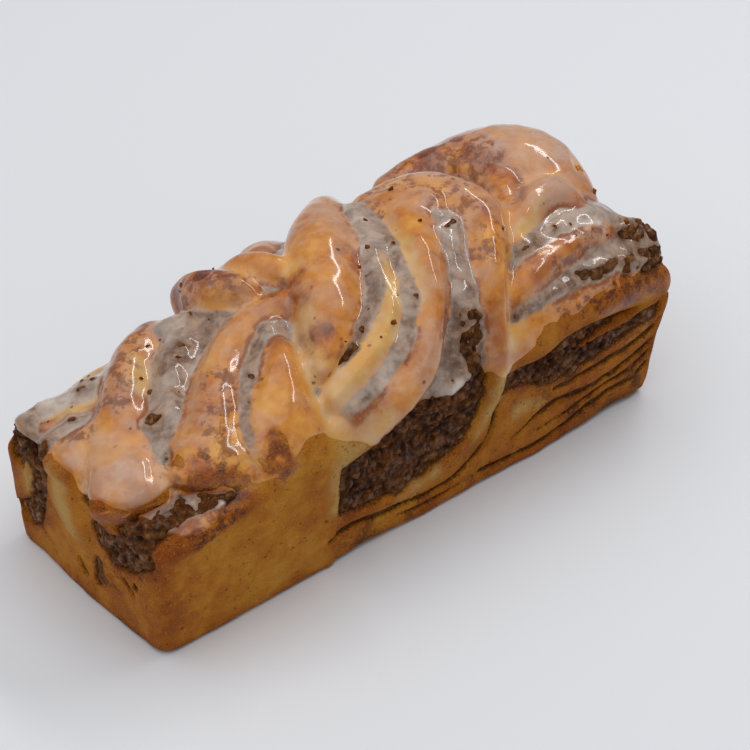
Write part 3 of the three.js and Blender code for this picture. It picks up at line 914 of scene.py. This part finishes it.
# colours as a colour picker shows them; in a list, from the lightest dough to the brownest, or from the
# darkest nuts to the lightest
shades = {
    "crust": [(0.0, (226, 166, 64)), (0.3, (212, 140, 36)), (0.5, (190, 110, 16)), (0.7, (154, 74, 6)),
              (1.0, (96, 36, 2))],
    "glazedDough": [(0.0, (230, 182, 98)), (0.3, (220, 158, 70)), (0.5, (202, 128, 44)),
                    (0.7, (166, 90, 24)), (1.0, (108, 48, 12))],
    "toast": [(0.3, (198, 114, 24)), (0.5, (158, 74, 10)), (0.7, (98, 36, 4))],
    "nuts": [(0.3, (26, 9, 1)), (0.46, (58, 27, 6)), (0.6, (98, 56, 20)), (0.85, (150, 98, 44))],
    "looseCrumbs": [(0.3, (86, 38, 10)), (0.5, (140, 72, 22)), (0.75, (190, 124, 56))],
    "glazedNuts": [(0.34, (70, 44, 28)), (0.46, (110, 76, 52)), (0.56, (146, 112, 86)),
                   (0.68, (170, 126, 82))],
    # the crease colour is painted shade for the creases between folds, tinted orange-brown like pooled syrup
    "pale": (218, 176, 102), "creaseShade": (166, 98, 28), "blotch": (100, 44, 26), "fleck": (84, 32, 8),
    # the pore colour is painted shade in the pits of the crust
    "stain": (80, 34, 4), "poreShade": (92, 42, 6), "flour": (220, 164, 78), "sugaredEdge": (134, 68, 26),
    "milkOverDough": (206, 178, 156), "milkOverNuts": (202, 186, 172),
}
mottle = {"broad": 26, "medium": 7, "fine": 1.6}       # the sizes of the dough's uneven browning


def mottled(m):
    return (m.noise(mottle["broad"], 3), m.noise(mottle["medium"], 4, 0.6), m.noise(mottle["fine"], 4, 0.65))


def doughColour(m, broad, medium, browning):
    # golden crust, browner on what stands out, pale where the dough stretched, orange-brown where toasted,
    # and darkened in the creases as painted shade
    swell = m.step(m.attribute("bulge"), -1.5, 2.5)
    golden = m.ramp(swell * 0.35 + broad * 0.8 + medium * 0.6 - 0.38, browning)
    paleness = m.attribute("pale") + (medium - 0.5) * 1.6 + (broad - 0.5) * 1.4
    shade = m.mix(m.step(paleness, 0.2, 1.2) * 0.85, golden, shades["pale"])
    toast = m.step(m.attribute("toasted") + (medium - 0.5) * 1.6 + (broad - 0.5), 0.3, 1.0)
    shade = m.mix(toast * 0.9, shade, m.ramp(medium, shades["toast"]))
    # painted shade: the creases between folds are darkened to an orange-brown, partly the colour of syrup
    # pooled there
    creaseShade = m.step(m.attribute("bulge") + (medium - 0.5) * 1.5, -0.5, -2.2)
    return m.mix(creaseShade * 0.55, shade, shades["creaseShade"])


def blotched(m, shade, medium, fine, strength):
    blotches = m.step(m.noise(4.5, 4, 0.65, 0.3) + m.attribute("specked") * 0.08, 0.53, 0.66)
    blotches = blotches * m.step(m.attribute("specked"), 0.05, 0.6)
    flecks = m.step(m.spots(7) + (fine - 0.5) * 0.3, 0.16, 0.06) * m.step(medium, 0.45, 0.6)
    shade = m.mix(blotches * strength, shade, shades["blotch"])
    return m.mix(flecks * 0.85, shade, shades["fleck"])


def doughMaterial():
    m = Shader("baked dough")
    broad, medium, fine = mottled(m)
    base = blotched(m, doughColour(m, broad, medium, shades["crust"]), medium, fine, 0.85)
    stain = m.step(m.attribute("nearNuts") + (fine - 0.5) * 2, 1.6, 0.2)
    base = m.mix(stain * 0.8, base, shades["stain"])
    # pits in the crust: the bump sinks them, and their dark colour is painted shade
    shadedPores = m.step(m.spots(2.9) + (fine - 0.5) * 0.9, 0.2, 0.0) * m.step(medium, 0.42, 0.6)
    base = m.mix(shadedPores * 0.6, base, shades["poreShade"])
    grain = m.noise(0.8, 3, 0.6)
    base = m.mix(m.step(grain, 0.52, 0.7) * 0.35, base, shades["flour"])
    m.set({"Base Color": base, "Roughness": medium * 0.2 + 0.6, "Specular IOR Level": 0.2,
           "Normal": m.bump(fine * 0.8 + grain * 0.5 - shadedPores * 0.7 + medium * 1.2, 2.0),
           "Coat Weight": m.step(m.attribute("toasted"), 0.2, 0.8) * 0.6, "Coat Roughness": 0.15})
    return m.material


def nutMaterial(name, browning):
    m = Shader(name)
    broad, medium, fine = m.noise(9, 3), m.noise(2.4, 4), m.noise(0.9, 3)
    # painted shade: the filling is darker in its hollows and lighter on what stands out
    raised = m.step(m.attribute("raised"), -1.2, 1.2)
    grains = m.step(m.spots(2.6) + (fine - 0.5) * 0.9 + (medium - 0.5) * 0.9, 0.62, 0.12)
    base = m.ramp(broad * 0.4 + medium * 0.45 + fine * 0.25 + grains * 0.1 + raised * 0.3 - 0.235, browning)
    m.set({"Base Color": base, "Roughness": 0.6, "Specular IOR Level": 0.1,
           "Normal": m.bump(fine * 0.5 + medium * 0.6 + grains * 0.6, 1.8),
           "Coat Weight": m.step(medium, 0.5, 0.62) * 0.5, "Coat Roughness": 0.15})
    return m.material


def glazeMaterial():
    # milky sugar over the colours of what lies under it, with brown edges along the filling
    m = Shader("sugar glaze")
    depth, overNuts = m.attribute("depth"), m.attribute("overNuts")
    broad, medium, fine = mottled(m)
    under = doughColour(m, broad, medium, shades["glazedDough"])
    nutsUnder = m.ramp(medium * 0.6 + m.noise(2.6, 4, 0.65) * 0.4, shades["glazedNuts"])
    isNuts = m.step(overNuts + (fine - 0.5) * 2, -0.5, 1.2)
    streaks = m.step(broad * 0.4 + m.noise(6, 3, 0.55, 0.4) * 0.6, 0.43, 0.58)
    whiteness = m.attribute("milky") * (medium + 0.5) * 0.4
    milk = (m.step(depth, 0.1, 1.6) * 0.25 + streaks * 0.4 + whiteness) * m.step(depth, 0.0, 0.45)
    overDough = blotched(m, m.mix(milk * 0.62, under, shades["milkOverDough"]), medium, fine, 0.65)
    overFilling = m.mix(milk * 0.8 + 0.05, nutsUnder, shades["milkOverNuts"])
    edge = m.step(overNuts + (fine - 0.5) * 3, -3.2, -0.8) * m.step(broad * 0.5 + medium * 0.5, 0.46, 0.56)
    edge = edge * m.step(m.attribute("pale"), 0.6, 0.1)
    overDough = m.mix(edge * 0.85, overDough, shades["sugaredEdge"])
    m.set({"Base Color": m.mix(isNuts, overDough, overFilling), "Roughness": 0.3,
           "Normal": m.bump(medium, 0.3, 0.5), "Specular IOR Level": 0.1,
           "Coat Weight": 0.9, "Coat IOR": 1.45, "Coat Roughness": 0.11})
    return m.material


# loose nut crumbs, scattered over the glaze
crumbs = {
    "perSquareMetre": 3400, "smallest": 0.4, "largest": 1.4, "uneven": 0.42,
    "flattest": (0.6, 0.6, 0.5), "roundest": (1.3, 1.1, 0.9),
    # where they lie on the glaze, as x, t, half width
    "where": [
        [(16, 150, 6), (10, 125, 8), (-2, 108, 8), (-20, 88, 10)], [(24, 90, 8), (20, 74, 8)],
        [(40, 146, 10), (52, 130, 10), (48, 108, 8)], [(60, 98, 8), (80, 94, 9), (104, 88, 10)],
        [(-60, 140, 8), (-74, 126, 9), (-90, 104, 8)], [(-40, 112, 6), (-58, 96, 7), (-72, 78, 7)],
        [(-120, 126, 6), (-100, 134, 7)], [(60, 70, 5), (100, 68, 6)], [(-48, 146, 8)], [(70, 154, 8)]],
    "whereSoft": 3, "elsewhere": 0.1,
    "aboveRim": 6,          # none lie lower than this
}


def scatterTree():
    tree = bpy.data.node_groups.new("scattered crumbs", "GeometryNodeTree")
    kinds = {"Surface": "Geometry", "Density": "Float", "Seed": "Int", "Smallest": "Float",
             "Largest": "Float", "Unevenness": "Float", "Material": "Material"}
    names = {}
    for name, kind in kinds.items():
        socket = tree.interface.new_socket(name, in_out="INPUT", socket_type="NodeSocket" + kind)
        names[name] = socket.identifier
    tree.interface.new_socket("Crumbs", in_out="OUTPUT", socket_type="NodeSocketGeometry")
    g = Graph(tree)
    given = tree.nodes.new("NodeGroupInput").outputs
    wires = {name: Wire(g, given[name]) for name in names}

    def randomVector(smallest, largest, draw):
        return g.node("FunctionNodeRandomValue", {"data_type": "FLOAT_VECTOR"},
                      {0: smallest, 1: largest, "Seed": draw})

    def scaled(vector, size):
        return g.node("ShaderNodeVectorMath", {"operation": "SCALE"}, {0: vector, "Scale": size})

    share = g.node("GeometryNodeInputNamedAttribute", {"data_type": "FLOAT"}, {"Name": "crumby"})
    points = g.node("GeometryNodeDistributePointsOnFaces", {},
                    {"Mesh": wires["Surface"], "Density": share * wires["Density"], "Seed": wires["Seed"]})
    ball = g.node("GeometryNodeMeshIcoSphere", {}, {"Radius": 1.0, "Subdivisions": 1})
    push = scaled(randomVector((-1, -1, -1), (1, 1, 1), 1), wires["Unevenness"])
    crumb = g.node("GeometryNodeSetPosition", {}, {"Geometry": ball, "Offset": push})
    turn = randomVector((0, 0, 0), (6.28, 6.28, 6.28), 2)
    radius = g.node("FunctionNodeRandomValue", {}, {2: wires["Smallest"], 3: wires["Largest"], "Seed": 3}, 1)
    scale = scaled(randomVector(crumbs["flattest"], crumbs["roundest"], 4), radius)
    placed = g.node("GeometryNodeInstanceOnPoints", {},
                    {"Points": points, "Instance": crumb, "Rotation": turn, "Scale": scale})
    real = g.node("GeometryNodeRealizeInstances", {}, {"Geometry": placed})
    coloured = g.node("GeometryNodeSetMaterial", {}, {"Geometry": real, "Material": wires["Material"]})
    tree.links.new(coloured.socket, tree.nodes.new("NodeGroupOutput").inputs["Crumbs"])
    return tree, names


def scatterCrumbs():
    strewn = painted(crumbs["where"], crumbs["whereSoft"]) + crumbs["elsewhere"]
    noneOnEnds = {-1: [], 1: []}
    share = looksAt(strewn, glazePlaces, noneOnEnds) * (glazeDepth > 0.1)
    setAttribute(glazePiece, "crumby", share * (glazePlaces[:, 2] > tin["rim"] + crumbs["aboveRim"]))
    piece = bpy.data.objects.new("nut_crumbs", glazePiece.data.copy())
    bpy.context.scene.collection.objects.link(piece)
    tree, names = scatterTree()
    scatter = piece.modifiers.new("scatter", "NODES")
    scatter.node_group = tree
    settings = {"Density": float(crumbs["perSquareMetre"]), "Seed": seed,
                "Smallest": crumbs["smallest"] * millimetre, "Largest": crumbs["largest"] * millimetre,
                "Unevenness": crumbs["uneven"], "Material": nutMaterial("nut crumbs", shades["looseCrumbs"])}
    for name, value in settings.items():
        scatter[names[name]] = value
    bakeMesh(piece)
    print("nut_crumbs faces:", len(piece.data.polygons))
    return piece


for piece, material in ((doughPiece, doughMaterial()), (nutPiece, nutMaterial("nut filling", shades["nuts"])),
                        (glazePiece, glazeMaterial())):
    piece.data.materials.append(material)
crumbPiece = scatterCrumbs()
for piece, slot in ((doughPiece, "baked_dough"), (nutPiece, "nut_filling"), (glazePiece, "sugar_glaze"),
                    (crumbPiece, "nut_filling")):
    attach(piece, "root")
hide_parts("loaf")

# floor, light and camera, in metres and degrees round from the front
studio = {
    "floor": 3.0, "floorColour": (227, 229, 232),
    # each light's direction, distance, size and power
    "overhead": ((-100, 75), 1.6, (2.5, 2.5), 17),
    "strip": ((90, 55), 1.2, (0.9, 0.06), 3.2),
    "room": (0.96, 0.965, 1.0, 1), "roomStrength": 0.43,
    "target": (0, 0, 0.040), "view": (-39.8, 37.3), "distance": 0.950,
    "lens": 120, "sensor": 36, "shiftX": 0.038, "shiftY": 0.005, "nearest": 0.01,
}


def stand(name, data, direction, distance, target=(0, 0, 0)):
    # puts a light or a camera at that distance from the target, looking at it
    a, e = [math.radians(angle) for angle in direction]
    away = Vector((math.sin(a) * math.cos(e), -math.cos(a) * math.cos(e), math.sin(e)))
    thing = bpy.data.objects.new(name, data)
    thing.location = Vector(target) + away * distance
    thing.rotation_euler = away.to_track_quat("Z", "Y").to_euler()
    bpy.context.scene.collection.objects.link(thing)
    return thing


def makeFloor():
    half = studio["floor"] / 2
    mesh = bpy.data.meshes.new("floor")
    corners = [(-half, -half, 0), (half, -half, 0), (half, half, 0), (-half, half, 0)]
    mesh.from_pydata(corners, [], [(0, 1, 2, 3)])
    floor = bpy.data.objects.new("floor", mesh)
    bpy.context.scene.collection.objects.link(floor)
    m = Shader("pale table")
    m.set({"Base Color": rgba(*studio["floorColour"]), "Roughness": 0.6})
    mesh.materials.append(m.material)


def makeLight(name):
    direction, distance, size, power = studio[name]
    data = bpy.data.lights.new(name, "AREA")
    data.shape = "RECTANGLE"
    data.size, data.size_y = size
    data.energy = power
    stand(name, data, direction, distance)


def makeRoom():
    world = bpy.data.worlds.new("room")
    world.use_nodes = True
    background = world.node_tree.nodes["Background"].inputs
    background["Color"].default_value = studio["room"]
    background["Strength"].default_value = studio["roomStrength"]
    bpy.context.scene.world = world
    bpy.context.scene.view_settings.view_transform = "Standard"


def makeCamera():
    data = bpy.data.cameras.new("camera")
    data.lens = studio["lens"]
    data.sensor_width = studio["sensor"]
    data.clip_start = studio["nearest"]
    data.shift_x = studio["shiftX"]
    data.shift_y = studio["shiftY"]
    bpy.context.scene.camera = stand("camera", data, studio["view"], studio["distance"], studio["target"])


makeFloor()
makeLight("overhead")
makeLight("strip")
makeRoom()
makeCamera()
print("studio ready")
